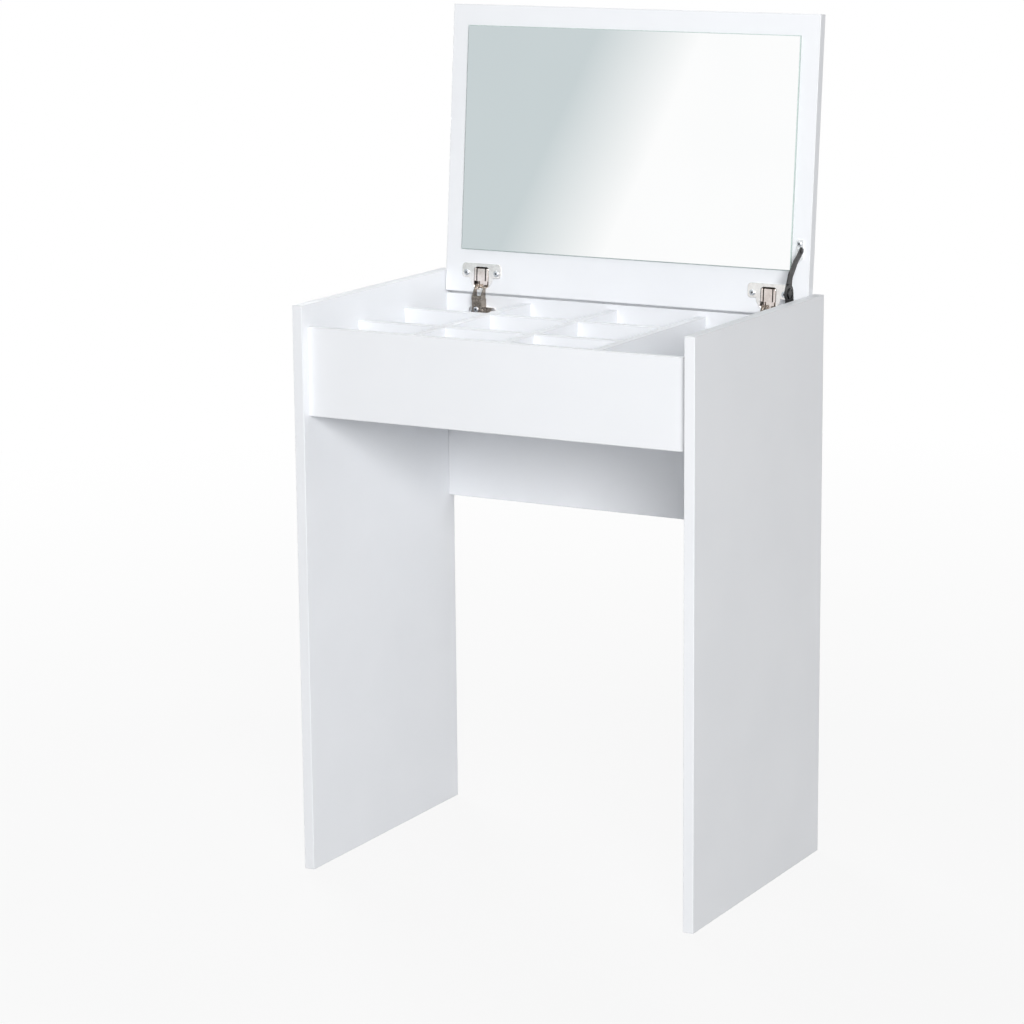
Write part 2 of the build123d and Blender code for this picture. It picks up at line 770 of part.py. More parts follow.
for side_name, place_x in hinge_places.items():
    nodes["hinge_cup_" + side_name] = hinge_cup(place_x)
    nodes["hinge_knuckle_" + side_name] = hinge_knuckle(place_x)
    nodes["hinge_pin_" + side_name] = hinge_pin(place_x)
    nodes["hinge_arm_" + side_name] = hinge_arm(place_x)
    nodes["hinge_base_" + side_name] = hinge_base(place_x)

os.makedirs("parts", exist_ok=True)
for name, shape in nodes.items():
    export_step(shape, "parts/" + name + ".step")
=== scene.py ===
import bmesh
import bpy
import json
import math
from mathutils import Matrix, Vector


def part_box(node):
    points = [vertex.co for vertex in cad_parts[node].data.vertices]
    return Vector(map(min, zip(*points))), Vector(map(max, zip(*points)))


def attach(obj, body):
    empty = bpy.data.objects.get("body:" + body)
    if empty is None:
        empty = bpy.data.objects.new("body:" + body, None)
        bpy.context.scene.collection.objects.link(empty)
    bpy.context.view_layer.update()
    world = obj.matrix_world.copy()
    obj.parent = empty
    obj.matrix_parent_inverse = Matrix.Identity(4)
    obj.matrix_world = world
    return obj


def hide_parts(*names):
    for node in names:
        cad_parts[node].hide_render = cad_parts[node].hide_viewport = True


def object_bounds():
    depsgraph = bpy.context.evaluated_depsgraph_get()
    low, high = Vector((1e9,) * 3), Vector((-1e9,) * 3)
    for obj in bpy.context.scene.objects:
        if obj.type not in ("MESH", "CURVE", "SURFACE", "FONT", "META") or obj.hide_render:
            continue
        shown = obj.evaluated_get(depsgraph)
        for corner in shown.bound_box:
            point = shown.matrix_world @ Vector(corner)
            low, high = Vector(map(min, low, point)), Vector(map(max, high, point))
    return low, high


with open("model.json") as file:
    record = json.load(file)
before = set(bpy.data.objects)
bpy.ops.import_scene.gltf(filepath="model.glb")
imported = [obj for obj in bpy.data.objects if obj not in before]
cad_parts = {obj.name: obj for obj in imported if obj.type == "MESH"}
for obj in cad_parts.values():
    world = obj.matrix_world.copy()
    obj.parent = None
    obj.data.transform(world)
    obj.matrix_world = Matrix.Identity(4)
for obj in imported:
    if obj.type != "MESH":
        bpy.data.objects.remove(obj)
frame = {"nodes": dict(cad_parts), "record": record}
cad_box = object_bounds()

# The two side panels stand on the floor and carry everything else.
# Each is 15 mm particle board faced with white melamine paper. A band of the same white is glued over
# its cut edges and leaves a hairline seam beside them, and the inner face is bored for the fittings.
melamine_white = (0.858, 0.873, 0.900, 1.0)
melamine_cloud = (0.840, 0.856, 0.884, 1.0)
melamine_roughness = (0.36, 0.48)
cloud_scale = 7.0
pearl_scale = 900.0
pearl_relief = (0.12, 0.0002)  # strength and depth of the fine pearl that the press plate leaves
seam_grey = (0.66, 0.67, 0.68, 1.0)
seam_half_width = 0.00012
seam_depth = 3.0  # against the height of the pearl
band_thickness = 0.001
tone_stops = (0.35, 0.65)  # values of a noise between which one tone goes over to the other


def new_finish(name):
    """A fresh node material, with its shader and a reader of the piece's own coordinates."""
    material = bpy.data.materials.new(name)
    material.use_nodes = True
    shader = material.node_tree.nodes["Principled BSDF"]
    coords = material.node_tree.nodes.new("ShaderNodeTexCoord")
    return material, shader, coords


def add_noise(material, coords, scale, detail=2.0, stretch=(1.0, 1.0, 1.0)):
    """Noise in the piece's own coordinates, drawn out by the stretch."""
    nodes = material.node_tree.nodes
    links = material.node_tree.links
    mapping = nodes.new("ShaderNodeMapping")
    mapping.inputs["Scale"].default_value = stretch
    noise = nodes.new("ShaderNodeTexNoise")
    noise.inputs["Scale"].default_value = scale
    noise.inputs["Detail"].default_value = detail
    links.new(coords.outputs["Object"], mapping.inputs["Vector"])
    links.new(mapping.outputs["Vector"], noise.inputs["Vector"])
    return noise.outputs["Fac"]


def add_tones(material, factor, low, high):
    """Two tones mixed by a factor, for the shader's colour."""
    ramp = material.node_tree.nodes.new("ShaderNodeValToRGB")
    for stop, place, tone in zip(ramp.color_ramp.elements, tone_stops, (low, high)):
        stop.position = place
        stop.color = tone
    material.node_tree.links.new(factor, ramp.inputs["Fac"])
    return ramp.outputs["Color"]


def add_range(material, factor, low, high):
    """A factor from 0 to 1 spread between two values."""
    spread = material.node_tree.nodes.new("ShaderNodeMapRange")
    spread.inputs["To Min"].default_value = low
    spread.inputs["To Max"].default_value = high
    material.node_tree.links.new(factor, spread.inputs["Value"])
    return spread.outputs["Result"]


def add_bump(material, factor, strength, depth):
    """A relief of the given depth in metres."""
    bump = material.node_tree.nodes.new("ShaderNodeBump")
    bump.inputs["Strength"].default_value = strength
    bump.inputs["Distance"].default_value = depth
    material.node_tree.links.new(factor, bump.inputs["Height"])
    return bump.outputs["Normal"]


def add_math(material, operation, first, second, third=0.0):
    """One step of arithmetic on a socket and a number or a second socket."""
    step = material.node_tree.nodes.new("ShaderNodeMath")
    step.operation = operation
    material.node_tree.links.new(first, step.inputs[0])
    if isinstance(second, float):
        step.inputs[1].default_value = second
    else:
        material.node_tree.links.new(second, step.inputs[1])
    step.inputs[2].default_value = third
    return step.outputs["Value"]


def add_seam(material, coords, node, lean):
    """One on the hairline beside a board's banded edges, else nought. The board may lean back."""
    nodes = material.node_tree.nodes
    links = material.node_tree.links
    upright = Matrix.Rotation(lean, 3, "X")
    points = [upright @ vertex.co for vertex in frame["nodes"][node].data.vertices]
    spans = []
    for axis in range(3):
        low = min(point[axis] for point in points)
        high = max(point[axis] for point in points)
        spans.append((high - low, (low + high) / 2, axis))
    mapping = nodes.new("ShaderNodeMapping")
    mapping.inputs["Rotation"].default_value = (lean, 0.0, 0.0)
    split = nodes.new("ShaderNodeSeparateXYZ")
    links.new(coords.outputs["Object"], mapping.inputs["Vector"])
    links.new(mapping.outputs["Vector"], split.inputs["Vector"])
    lines = []
    for length, middle, axis in sorted(spans)[1:]:  # the two long ways of the board, not its thickness
        offset = add_math(material, "SUBTRACT", split.outputs[axis], middle)
        reach = add_math(material, "ABSOLUTE", offset, 0.0)
        seam_place = length / 2 - band_thickness
        lines.append(add_math(material, "COMPARE", reach, seam_place, seam_half_width))
    return add_math(material, "MAXIMUM", lines[0], lines[1])


def melamine_finish(node, lean=0.0):
    """White melamine with soft clouding, the fine pearl of the press plate and a band seam."""
    material, shader, coords = new_finish("white_melamine_" + node)
    links = material.node_tree.links
    cloud = add_noise(material, coords, cloud_scale)
    pearl = add_noise(material, coords, pearl_scale, detail=3.0)
    seam = add_seam(material, coords, node, lean)
    coat = material.node_tree.nodes.new("ShaderNodeMix")
    coat.data_type = "RGBA"
    coat.inputs["B"].default_value = seam_grey
    links.new(seam, coat.inputs["Factor"])
    links.new(add_tones(material, cloud, melamine_cloud, melamine_white), coat.inputs["A"])
    links.new(coat.outputs["Result"], shader.inputs["Base Color"])
    links.new(add_range(material, pearl, *melamine_roughness), shader.inputs["Roughness"])
    groove = add_math(material, "MULTIPLY", seam, -seam_depth)
    relief = add_math(material, "ADD", pearl, groove)
    links.new(add_bump(material, relief, *pearl_relief), shader.inputs["Normal"])
    return material


def dress(node, material):
    """Gives a CAD node its finish."""
    mesh = frame["nodes"][node].data
    mesh.materials.clear()
    mesh.materials.append(material)


for node in ("side_panel_left", "side_panel_right"):
    dress(node, melamine_finish(node))

# The front apron closes the storage box between the side panels, a little behind their front edges.
# It is a 9 mm faced board, held at each end by a cam and dowels.
dress("front_apron", melamine_finish("front_apron"))

# The back panel closes the rear and carries the hinges on screws.
# It is a 15 mm faced board between the side panels, its top edge hollowed for the lid's swing.
dress("back_panel", melamine_finish("back_panel"))

# The box floor carries the dividers and what is kept in the box.
# It is a 15 mm board, faced on both sides and held by cams from below.
dress("box_floor", melamine_finish("box_floor"))

# Three dividers run from the apron to the back panel, and two cross dividers are half-lapped with them.
# They are 12 mm faced boards with banded top edges, and they sit on the box floor.
for node in (
    "divider_left",
    "divider_middle",
    "divider_right",
    "cross_divider_front",
    "cross_divider_rear",
):
    dress(node, melamine_finish(node))

# Knock-down fittings hold the boards together. A steel bolt in one board goes into a zinc cam in the
# other, and a turn of a cross-head driver in the cam draws the joint tight. Each cam is die-cast, with a
# raised rim round its face.
zinc_tones = ((0.50, 0.51, 0.53, 1.0), (0.62, 0.63, 0.65, 1.0))
zinc_roughness = (0.32, 0.5)
# The walls of the cross recesses get a dark finish of their own: painted shade in the recesses.
recess_shade_tones = ((0.06, 0.06, 0.065, 1.0), (0.12, 0.12, 0.125, 1.0))
recess_shade_roughness = (0.4, 0.6)
metal_grain = 600.0
metal_cloud = 90.0
metal_relief = (0.15, 0.00005)  # strength and depth
cam_rim = 0.0008
cam_sink = 0.0004
cam_edge_round = 0.0004
cam_cross = (0.0060, 0.0014, 0.0022)  # length and width of a cross's arm, and its depth
cross_taper = (0.4, 0.6)  # shares of the length and the width that are left at the bottom
cross_turns = (20.0, 34.0)  # degrees: how the first cross stands, and how far each next one is turned on
turned_sides = 40
smooth_angle = 35.0
facing_limit = 0.9  # how nearly a face's normal lies along an axis when the face counts as facing it
merge_distance = 0.000001
rightward = Vector((1.0, 0.0, 0.0))
rearward = Vector((0.0, 1.0, 0.0))
upward = Vector((0.0, 0.0, 1.0))
downward = Vector((0.0, 0.0, -1.0))


def metal_finish(name, tones, roughness):
    """Bare or plated metal, with a fine grain in its tone, gloss and relief."""
    material, shader, coords = new_finish(name)
    links = material.node_tree.links
    fine = add_noise(material, coords, metal_grain, detail=4.0)
    broad = add_noise(material, coords, metal_cloud)
    links.new(add_tones(material, broad, *tones), shader.inputs["Base Color"])
    links.new(add_range(material, fine, *roughness), shader.inputs["Roughness"])
    links.new(add_bump(material, fine, *metal_relief), shader.inputs["Normal"])
    shader.inputs["Metallic"].default_value = 1.0
    return material


def solids_of(node):
    """The points of each separate solid in a CAD node."""
    mesh = bmesh.new()
    mesh.from_mesh(frame["nodes"][node].data)
    bmesh.ops.remove_doubles(mesh, verts=mesh.verts, dist=merge_distance)
    solids = []
    for first in mesh.verts:
        if first.tag:
            continue
        first.tag = True
        found = [first]
        for vertex in found:
            for edge in vertex.link_edges:
                other = edge.other_vert(vertex)
                if not other.tag:
                    other.tag = True
                    found.append(other)
        solids.append([vertex.co.copy() for vertex in found])
    mesh.free()
    return solids


def span(points, axis):
    """How far a solid reaches along an axis, its lowest and highest value."""
    values = [point.dot(axis) for point in points]
    return min(values), max(values)


def outer_end(points, outward):
    """The middle of a round fitting's outer end."""
    end = outward * span(points, outward)[1]
    side = outward.orthogonal().normalized()
    for axis in (side, outward.cross(side)):
        low, high = span(points, axis)
        end += axis * (low + high) / 2
    return end


def start_turned(radius, height, finish):
    """A round blank whose top is at the origin, with its axis along Z."""
    bpy.ops.object.select_all(action="DESELECT")
    bpy.ops.mesh.primitive_cylinder_add(
        vertices=turned_sides,
        radius=radius,
        depth=height,
        location=(0.0, 0.0, -height / 2),
    )
    bpy.ops.object.transform_apply(location=True, rotation=True, scale=True)
    bpy.context.object.data.materials.append(finish)
    return bpy.context.object


def pick_faces(test):
    """In edit mode, selects the faces whose normal passes a test."""
    bpy.ops.mesh.select_mode(type="FACE")
    bpy.ops.mesh.select_all(action="DESELECT")
    mesh = bmesh.from_edit_mesh(bpy.context.object.data)
    for face in mesh.faces:
        if test(face.normal):
            face.select_set(True)
    bmesh.update_edit_mesh(bpy.context.object.data)


def pick_top():
    """In edit mode, selects the faces that face up."""
    pick_faces(lambda normal: normal.z > facing_limit)


def pick_underside():
    """In edit mode, selects the faces that face down."""
    pick_faces(lambda normal: normal.z < -facing_limit)


def cut_cross(piece, sizes):
    """Cuts a tapered cross recess into the middle of a piece's top, its walls lined dark with painted
    shade.
    """
    length, width, depth = sizes
    for turn in (0.0, 90.0):
        bpy.ops.object.select_all(action="DESELECT")
        bpy.ops.mesh.primitive_cube_add(size=1.0, rotation=(0.0, 0.0, math.radians(turn)))
        cutter = bpy.context.object
        cutter.data.materials.append(recess_painted_shade)
        cutter.scale = (length, width, 2 * depth)
        bpy.ops.object.mode_set(mode="EDIT")
        pick_underside()
        bpy.ops.transform.resize(
            value=(*cross_taper, 1.0),
            center_override=(0.0, 0.0, 0.0),
            orient_type="LOCAL",
        )
        bpy.ops.object.mode_set(mode="OBJECT")
        bpy.ops.object.transform_apply(location=True, rotation=True, scale=True)
        cut = piece.modifiers.new("cross", "BOOLEAN")
        cut.operation = "DIFFERENCE"
        cut.solver = "EXACT"
        cut.material_mode = "TRANSFER"
        cut.object = cutter
        bpy.context.view_layer.objects.active = piece
        bpy.ops.object.modifier_apply(modifier=cut.name)
        bpy.data.objects.remove(cutter)


def copy_out(model, ends, outward):
    """Copies a modelled fitting to each end, its top facing outward and each cross at another angle."""
    copies = []
    facing = upward.rotation_difference(outward).to_matrix().to_4x4()
    for index, end in enumerate(ends):
        bpy.ops.object.select_all(action="DESELECT")
        model.select_set(True)
        bpy.context.view_layer.objects.active = model
        bpy.ops.object.duplicate()
        copy = bpy.context.object
        turn = Matrix.Rotation(math.radians(cross_turns[0] + cross_turns[1] * index), 4, "Z")
        copy.matrix_world = Matrix.Translation(end) @ facing @ turn
        bpy.ops.object.transform_apply(location=True, rotation=True, scale=True)
        copies.append(copy)
    return copies


def join_pieces(name, pieces):
    """Makes one piece of that name from several, or from one alone."""
    bpy.ops.object.select_all(action="DESELECT")
    for piece in pieces:
        piece.select_set(True)
    bpy.context.view_layer.objects.active = pieces[0]
    if len(pieces) > 1:
        bpy.ops.object.join()
    whole = bpy.context.object
    whole.name = name
    whole.data.name = name
    bpy.ops.object.shade_smooth_by_angle(angle=math.radians(smooth_angle))
    return whole


zinc_finish = metal_finish("zinc_casting", zinc_tones, zinc_roughness)
# The dark lining of the cross recesses is painted shade, not a colour of the zinc.
recess_painted_shade = metal_finish("driver_recess_painted_shade", recess_shade_tones, recess_shade_roughness)


def model_cam(radius, height):
    """A cam, its face sunk inside a rounded rim and cut with a cross."""
    cam = start_turned(radius, height, zinc_finish)
    bpy.ops.object.mode_set(mode="EDIT")
    pick_top()
    bpy.ops.mesh.bevel(offset=cam_edge_round, segments=2, profile=0.5)
    pick_top()
    bpy.ops.mesh.inset(thickness=cam_rim, depth=-cam_sink)
    bpy.ops.object.mode_set(mode="OBJECT")
    cut_cross(cam, cam_cross)
    return cam


dress("cam_bolts", zinc_finish)
cams = {"rear": [], "under": []}
for points in solids_of("cam_locks"):
    depth_y = span(points, rearward)
    depth_z = span(points, downward)
    faces_down = depth_z[1] - depth_z[0] < depth_y[1] - depth_y[0]
    cams["under" if faces_down else "rear"].append(points)
cam_pieces = []
for group, outward in (("rear", rearward), ("under", downward)):
    for points in cams[group]:
        low, high = span(points, outward)
        left, right = span(points, rightward)
        cam = model_cam((right - left) / 2, high - low)
        cam_pieces += copy_out(cam, [outer_end(points, outward)], outward)
        bpy.data.objects.remove(cam)
cam_locks = join_pieces("cam_locks_cast", cam_pieces)
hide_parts("cam_locks")
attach(cam_locks, "table")

# Dowels beside the cams keep the boards in line.
# They are turned from beech, 6 mm thick and 30 mm long, and pushed into bores in both boards.
beech_tones = ((0.46, 0.29, 0.16, 1.0), (0.66, 0.46, 0.28, 1.0))
beech_roughness = 0.6
beech_grain = 260.0
beech_stretch = (0.08, 1.0, 1.0)  # the flecks run along the dowel
beech_relief = (0.3, 0.0002)  # strength and depth


def beech_finish():
    """Beech with its short flecks along the dowel."""
    material, shader, coords = new_finish("beech")
    links = material.node_tree.links
    grain = add_noise(material, coords, beech_grain, detail=5.0, stretch=beech_stretch)
    links.new(add_tones(material, grain, *beech_tones), shader.inputs["Base Color"])
    links.new(add_bump(material, grain, *beech_relief), shader.inputs["Normal"])
    shader.inputs["Roughness"].default_value = beech_roughness
    return material


dress("dowels", beech_finish())

# The lid swings up on two hinges and stands open, leaning back.
# It is a 15 mm faced board with all its edges banded, bored on its inner face for the hinge cups.
for joint in frame["record"]["behaviour"]["joints"]:
    if joint["name"] == "lid_hinge":
        lid_lean = math.radians(joint["range_deg"][1] - 90.0)
dress("lid_panel", melamine_finish("lid_panel", lid_lean))

# Strips of white foam tape, sticky on both sides, hold the glass on the lid.
# They are cut from a roll of closed-cell foam and lie hidden behind the silvering.
foam_tones = ((0.55, 0.55, 0.54, 1.0), (0.74, 0.74, 0.73, 1.0))
foam_roughness = 0.8
foam_cells = 1500.0
foam_relief = (0.4, 0.0002)  # strength and depth


def foam_finish():
    """Closed-cell foam with small pits."""
    material, shader, coords = new_finish("foam_tape")
    links = material.node_tree.links
    cells = add_noise(material, coords, foam_cells, detail=3.0)
    links.new(add_tones(material, cells, *foam_tones), shader.inputs["Base Color"])
    links.new(add_bump(material, cells, *foam_relief), shader.inputs["Normal"])
    shader.inputs["Roughness"].default_value = foam_roughness
    return material


dress("mirror_tape", foam_finish())

# The mirror is a 3 mm sheet of float glass, silvered behind and stuck on the lid's inner face.
# Its edges are ground, with the sharp corner taken off all round, and look grey-green.
silver_tones = ((0.965, 0.972, 0.972, 1.0), (0.975, 0.980, 0.980, 1.0))
silver_roughness = (0.008, 0.014)
silver_wave = 9.0
ground_tones = ((0.36, 0.46, 0.43, 1.0), (0.50, 0.60, 0.57, 1.0))
ground_roughness = 0.35
ground_grain = 1200.0
ground_relief = (0.3, 0.0001)  # strength and depth
arris_width = 0.0009
arris_fall = 0.0007
lid_up = Vector((0.0, math.sin(lid_lean), math.cos(lid_lean)))
lid_out = Vector((0.0, -math.cos(lid_lean), math.sin(lid_lean)))  # the way that the mirror faces
lid_axes = (rightward, lid_up, lid_out)


def silver_finish():
    """Silvered glass with the faint waviness of float glass."""
    material, shader, coords = new_finish("silvered_glass")
    links = material.node_tree.links
    wave = add_noise(material, coords, silver_wave, detail=1.0)
    links.new(add_tones(material, wave, *silver_tones), shader.inputs["Base Color"])
    links.new(add_range(material, wave, *silver_roughness), shader.inputs["Roughness"])
    shader.inputs["Metallic"].default_value = 1.0
    return material


def ground_edge_finish():
    """The cut edge of the glass, matt from grinding."""
    material, shader, coords = new_finish("ground_glass_edge")
    links = material.node_tree.links
    grind = add_noise(material, coords, ground_grain)
    links.new(add_tones(material, grind, *ground_tones), shader.inputs["Base Color"])
    links.new(add_bump(material, grind, *ground_relief), shader.inputs["Normal"])
    shader.inputs["Roughness"].default_value = ground_roughness
    return material


glass_points = solids_of("mirror_glass")[0]
glass_spans = [span(glass_points, axis) for axis in lid_axes]
width, height, thickness = (high - low for low, high in glass_spans)
bpy.ops.object.select_all(action="DESELECT")
bpy.ops.mesh.primitive_cube_add(size=1.0, scale=(width, height, thickness - arris_fall))
mirror = bpy.context.object
mirror.name = "mirror_sheet"
mirror.data.name = "mirror_sheet"
bpy.ops.object.transform_apply(location=True, rotation=True, scale=True)
mirror.data.materials.append(silver_finish())
mirror.data.materials.append(ground_edge_finish())
bpy.ops.object.mode_set(mode="EDIT")
pick_top()
bpy.ops.mesh.inset(thickness=arris_width, depth=arris_fall)
pick_faces(lambda normal: abs(normal.z) < facing_limit)
mirror.active_material_index = 1
bpy.ops.object.material_slot_assign()
bpy.ops.object.mode_set(mode="OBJECT")
turned = Matrix(lid_axes).transposed().to_4x4()
sheet_middle = Vector((0.0, 0.0, 0.0))
for axis, (low, high) in zip(lid_axes, glass_spans):
    sheet_middle += axis * (low + high) / 2
sheet_middle -= lid_out * arris_fall / 2
mirror.matrix_world = Matrix.Translation(sheet_middle) @ turned
bpy.ops.object.transform_apply(location=True, rotation=True, scale=True)
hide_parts("mirror_glass")
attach(mirror, "lid")

# Each hinge cup is let into the lid and held by two screws through its flange.
# Cup and flange are pressed from one steel sheet and nickel-plated, and the knuckle in it, which holds
# the pin, is a casting with a warmer plating.
nickel_tones = ((0.84, 0.81, 0.79, 1.0), (0.92, 0.90, 0.88, 1.0))
nickel_roughness = (0.14, 0.26)
knuckle_tones = ((0.70, 0.62, 0.58, 1.0), (0.80, 0.73, 0.69, 1.0))
knuckle_roughness = (0.12, 0.22)
nickel_finish = metal_finish("hinge_nickel", nickel_tones, nickel_roughness)
knuckle_finish = metal_finish("hinge_knuckle", knuckle_tones, knuckle_roughness)
for side in ("left", "right"):
    dress("hinge_cup_" + side, nickel_finish)
    dress("hinge_knuckle_" + side, knuckle_finish)
    dress("hinge_pin_" + side, nickel_finish)

# Each hinge arm is a pressed steel channel whose ears hold the knuckle's pin.
# It sits on a base plate that is screwed to the back panel, and two machine screws clamp it there.
# The arms' tone is darker and browner than the nickel of cup and base: painted shade for their place low
# in the box.
arm_shaded_tones = ((0.26, 0.225, 0.19, 1.0), (0.36, 0.32, 0.275, 1.0))
arm_roughness = (0.2, 0.34)
arm_painted_shade_finish = metal_finish("hinge_steel", arm_shaded_tones, arm_roughness)
for side in ("left", "right"):
    dress("hinge_arm_" + side, arm_painted_shade_finish)
    dress("hinge_base_" + side, nickel_finish)

# The hinges and the stay are held by screws with round heads and cross recesses.
# They are cold-headed steel with bright zinc plating, driven home at no set angle.
screw_tones = ((0.60, 0.62, 0.65, 1.0), (0.72, 0.74, 0.77, 1.0))
screw_roughness = (0.24, 0.38)
screw_finish = metal_finish("screw_zinc", screw_tones, screw_roughness)
wood_screw = (0.0018, 0.00175)  # height of the head and radius of the shank
machine_screw = (0.0020, 0.0020)
screw_tip = 0.0025
tip_taper = 0.2  # share of the shank's radius that is left at the tip
head_round = 0.75  # share of the head's height that is rounded
screw_cross = (0.0052, 0.0014, 0.0015)
plain_head = 1.0
broad_head = 1.2  # the heads on the hinge cups are that much broader
forward = Vector((0.0, -1.0, 0.0))
leftward = Vector((-1.0, 0.0, 0.0))


def model_screw(head_radius, length, sizes):
    """A screw, its domed head cut with a cross and its shank tapered to a tip."""
    head_height, shank_radius = sizes
    screw = start_turned(head_radius, head_height, screw_finish)
    bpy.ops.object.mode_set(mode="EDIT")
    pick_underside()
    bpy.ops.mesh.inset(thickness=head_radius - shank_radius)
    shank = length - head_height - screw_tip
    for step in (shank, screw_tip):
        bpy.ops.mesh.extrude_region_move(TRANSFORM_OT_translate={"value": (0.0, 0.0, -step)})
    bpy.ops.transform.resize(value=(tip_taper, tip_taper, 1.0), center_override=(0.0, 0.0, 0.0))
    pick_top()
    bpy.ops.mesh.bevel(offset=head_height * head_round, segments=5, profile=0.5)
    bpy.ops.object.mode_set(mode="OBJECT")
    cut_cross(screw, screw_cross)
    return screw


for node, outward, sizes, head, body in (
    ("hinge_cup_screws", lid_out, wood_screw, broad_head, "lid"),
    ("hinge_arm_screws", forward, machine_screw, plain_head, "table"),
    ("hinge_base_screws", forward, wood_screw, plain_head, "table"),
    ("stay_bracket_screws", lid_out, wood_screw, plain_head, "lid"),
    ("stay_plate_screws", leftward, wood_screw, plain_head, "table"),
):
    solids = solids_of(node)
    low, high = span(solids[0], outward)
    left, right = span(solids[0], outward.orthogonal().normalized())
    screw = model_screw(head * (right - left) / 2, high - low, sizes)
    copies = copy_out(screw, [outer_end(points, outward) for points in solids], outward)
    bpy.data.objects.remove(screw)
    screws = join_pieces(node + "_headed", copies)
    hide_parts(node)
    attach(screws, body)

# The folding stay at the right holds the lid open. Its two arms are stamped from dark coated steel and
# turn on rivets, at the lid in a zinc-plated bracket and below on a plate on the side panel.
stay_tones = ((0.060, 0.058, 0.058, 1.0), (0.100, 0.098, 0.097, 1.0))
stay_roughness = (0.3, 0.46)
bracket_tones = ((0.80, 0.81, 0.82, 1.0), (0.90, 0.91, 0.92, 1.0))
bracket_roughness = (0.2, 0.32)
stay_finish = metal_finish("stay_dark_steel", stay_tones, stay_roughness)
bracket_finish = metal_finish("stay_bracket", bracket_tones, bracket_roughness)
for node in (
    "stay_upper_arm",
    "stay_lower_arm",
    "stay_friction_washer",
    "stay_anchor_plate",
    "stay_lid_rivet",
):
    dress(node, stay_finish)
dress("stay_lid_bracket", bracket_finish)

# The stay's two arms turn on each other at the hub, on a rivet with a broad head.
# A pressed cap behind keeps the friction washer in place. Both are black coated steel, with a groove
# round a raised button.
hub_tones = ((0.030, 0.030, 0.031, 1.0), (0.050, 0.050, 0.051, 1.0))
hub_roughness = (0.12, 0.22)
black_finish = metal_finish("stay_hub_black", hub_tones, hub_roughness)
rivet_head = 0.001
rivet_shank = 0.0040
rivet_rim = 0.0010
cap_rim = 0.0016
button_round = 0.55  # share of the rivet head's height that is rounded
groove_width = 0.0007
groove_depth = 0.0004


def shape_button(rim):
    """Rounds the top of a turned blank and cuts a groove round a raised button."""
    bpy.ops.object.mode_set(mode="EDIT")
    pick_top()
    bpy.ops.mesh.bevel(offset=rivet_head * button_round, segments=4, profile=0.5)
    pick_top()
    bpy.ops.mesh.inset(thickness=rim)
    bpy.ops.mesh.inset(thickness=groove_width, depth=-groove_depth)
    bpy.ops.mesh.inset(thickness=groove_width, depth=groove_depth)
    bpy.ops.object.mode_set(mode="OBJECT")


cap_points = solids_of("stay_hub_cap")[0]
low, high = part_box("stay_hub_cap")
cap = start_turned((high.y - low.y) / 2, high.x - low.x, black_finish)
shape_button(cap_rim)
cap_copies = copy_out(cap, [outer_end(cap_points, rightward)], rightward)
hub_cap = join_pieces("stay_hub_cap_pressed", cap_copies)
bpy.data.objects.remove(cap)
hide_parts("stay_hub_cap")
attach(hub_cap, "stay_lower")

rivet_points = solids_of("stay_hub_rivet")[0]
low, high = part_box("stay_hub_rivet")
rivet_radius = (high.y - low.y) / 2
shank_drop = (0.0, 0.0, low.x - high.x + rivet_head)
rivet = start_turned(rivet_radius, rivet_head, black_finish)
bpy.ops.object.mode_set(mode="EDIT")
pick_underside()
bpy.ops.mesh.inset(thickness=rivet_radius - rivet_shank)
bpy.ops.mesh.extrude_region_move(TRANSFORM_OT_translate={"value": shank_drop})
bpy.ops.object.mode_set(mode="OBJECT")
shape_button(rivet_rim)
rivet_copies = copy_out(rivet, [outer_end(rivet_points, leftward)], leftward)
hub_rivet = join_pieces("stay_hub_rivet_headed", rivet_copies)
bpy.data.objects.remove(rivet)
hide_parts("stay_hub_rivet")
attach(hub_rivet, "stay_lower")

# The floor is a plain pale studio floor, painted matt.
# The camera sees it whitened, more so far from the object, so that only soft shadows are left on it.
floor_size = 24.0
floor_tones = ((0.42, 0.42, 0.42, 1.0), (0.46, 0.46, 0.46, 1.0))
floor_roughness = 0.9
floor_mottle = 3.0
floor_whitening = (0.90, 1.0)  # shares of plain white that are seen, near the object and far from it
floor_fade = (0.8, 3.2)  # distances from the object between which the floor goes over to plain white
bpy.ops.object.select_all(action="DESELECT")
bpy.ops.mesh.primitive_plane_add(size=floor_size)
floor = bpy.context.object
floor.name = "studio_floor"


def floor_finish():
    """Matt pale paint that cameras and shiny surfaces see whitened."""
    material, shader, coords = new_finish("studio_floor")
    nodes = material.node_tree.nodes
    links = material.node_tree.links
    mottle = add_noise(material, coords, floor_mottle)
    links.new(add_tones(material, mottle, *floor_tones), shader.inputs["Base Color"])
    shader.inputs["Roughness"].default_value = floor_roughness
    away = nodes.new("ShaderNodeVectorMath")
    away.operation = "LENGTH"
    links.new(coords.outputs["Object"], away.inputs[0])
    fade = nodes.new("ShaderNodeMapRange")
    fade.inputs["From Min"].default_value = floor_fade[0]
    fade.inputs["From Max"].default_value = floor_fade[1]
    fade.inputs["To Min"].default_value = floor_whitening[0]
    fade.inputs["To Max"].default_value = floor_whitening[1]
    links.new(away.outputs["Value"], fade.inputs["Value"])
    path = nodes.new("ShaderNodeLightPath")
    camera_ray = path.outputs["Is Camera Ray"]
    glossy_ray = path.outputs["Is Glossy Ray"]
    seen = add_math(material, "MAXIMUM", camera_ray, glossy_ray)
    white = nodes.new("ShaderNodeEmission")
    mix = nodes.new("ShaderNodeMixShader")
    links.new(add_math(material, "MULTIPLY", seen, fade.outputs["Result"]), mix.inputs["Fac"])
    links.new(shader.outputs["BSDF"], mix.inputs[1])
    links.new(white.outputs["Emission"], mix.inputs[2])
    links.new(mix.outputs["Shader"], nodes["Material Output"].inputs["Surface"])
    return material


floor.data.materials.append(floor_finish())

